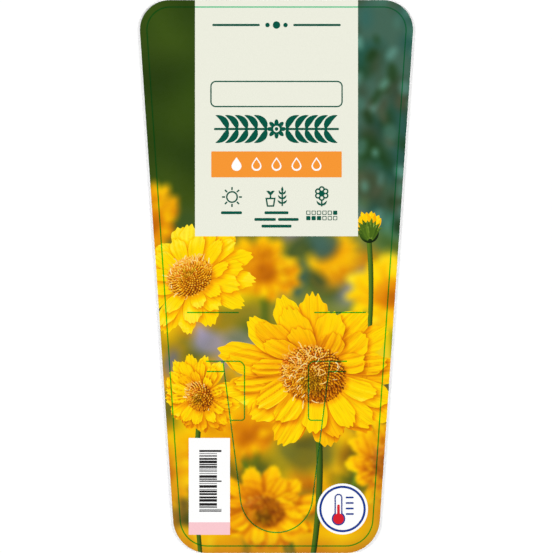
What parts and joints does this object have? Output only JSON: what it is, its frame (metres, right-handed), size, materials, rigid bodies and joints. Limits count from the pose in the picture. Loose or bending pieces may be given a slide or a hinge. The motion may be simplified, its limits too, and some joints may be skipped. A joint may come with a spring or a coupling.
{
  "type": "plant pot label",
  "caption": "Flat tapered die-cut plastic label that hangs on a plant pot's rim by a tongue, with a printed flower front.",
  "frame": {"origin": "on the back face, under the middle of the sheet's bounding box", "axes": "+X to the right across the label as read, +Y to its wide top edge, +Z out of the printed front"},
  "size_m": [0.1092, 0.2212, 0.0005],
  "materials": {
    "printed_plastic": "satin white polypropylene sheet, printed in full colour on the front"
  },
  "bodies": {
    "root": {"label_sheet": "printed_plastic"}
  },
  "joints": []
}
